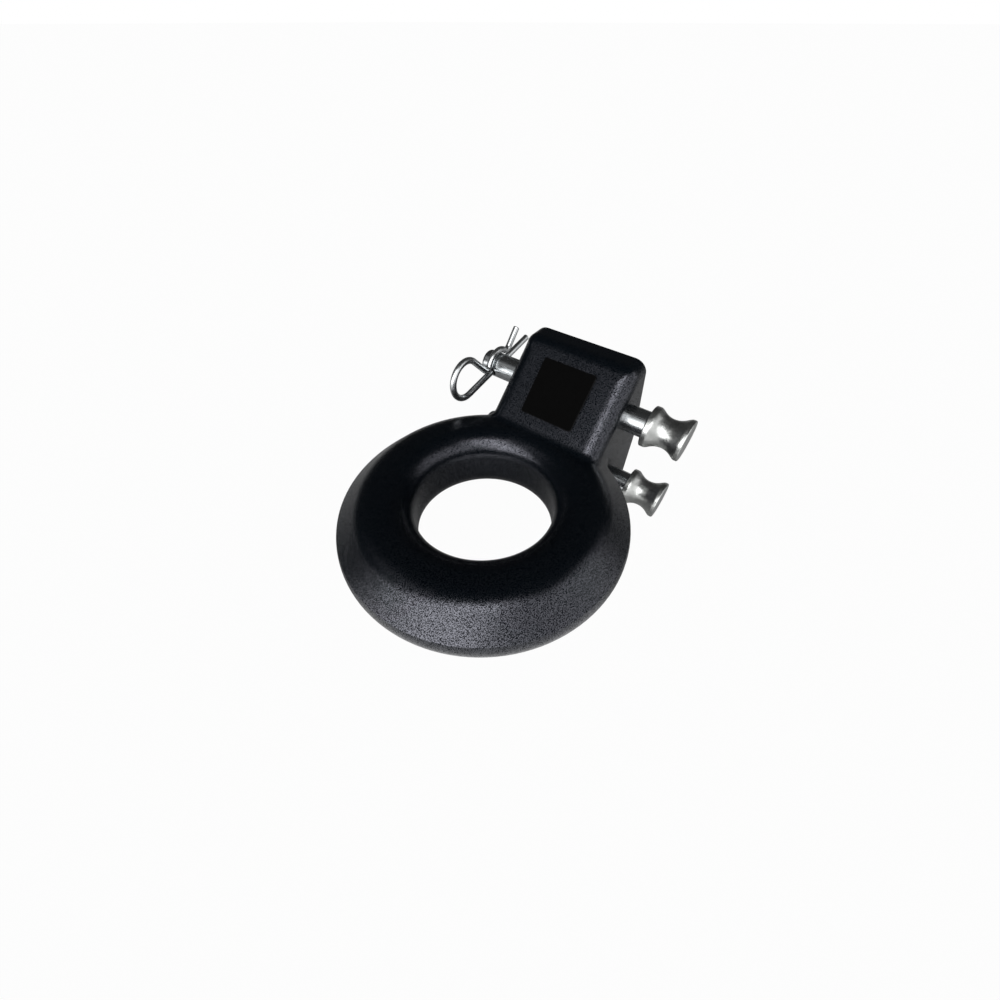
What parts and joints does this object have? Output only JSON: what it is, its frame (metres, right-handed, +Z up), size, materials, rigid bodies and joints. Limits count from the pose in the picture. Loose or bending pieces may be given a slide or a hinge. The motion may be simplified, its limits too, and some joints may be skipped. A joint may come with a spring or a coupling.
{
  "type": "lunette ring",
  "caption": "Forged towing eye on a shank block, held in a channel by cross pins with pull knobs and spring clips.",
  "frame": {"origin": "centre of the eye, on the parting plane of the forging", "axes": "+Z up along the eye's axis, +X from the eye along the shank block, +Y towards the clips; the knobs are on the -Y side"},
  "size_m": [0.2067, 0.1602, 0.1142],
  "materials": {
    "powder_coat": "textured black powder coat",
    "nameplate": "plain gloss black",
    "pad": "matte black adhesive foam",
    "zinc": "bright zinc plate",
    "knob": "satin nickel plate",
    "wire": "bright zinc plate"
  },
  "bodies": {
    "forging": {"ring_forging": "powder_coat", "badge_pad": "pad", "badge_plate": "nameplate"},
    "upper_pin": {"upper_pin_shank": "zinc", "upper_pin_knob": "knob"},
    "lower_pin": {"lower_pin_shank": "zinc", "lower_pin_knob": "knob"},
    "upper_clip": {"upper_pin_clip": "wire"},
    "lower_clip": {"lower_pin_clip": "wire"}
  },
  "joints": [
    {"name": "upper_pin_slide", "type": "slide", "parent": "forging", "child": "upper_pin", "axis": [0, 1, 0], "range_m": [-0.02, 0.0105]},
    {"name": "lower_pin_slide", "type": "slide", "parent": "forging", "child": "lower_pin", "axis": [0, 1, 0], "range_m": [-0.02, 0.0105]},
    {"name": "upper_clip_pull", "type": "slide", "parent": "upper_pin", "child": "upper_clip", "axis": [-0.9839, 0, -0.1788], "range_m": [0, 0.018], "deforming": ["upper_pin_clip"]},
    {"name": "lower_clip_pull", "type": "slide", "parent": "lower_pin", "child": "lower_clip", "axis": [-0.9839, 0, 0.1788], "range_m": [0, 0.018], "deforming": ["lower_pin_clip"]}
  ]
}
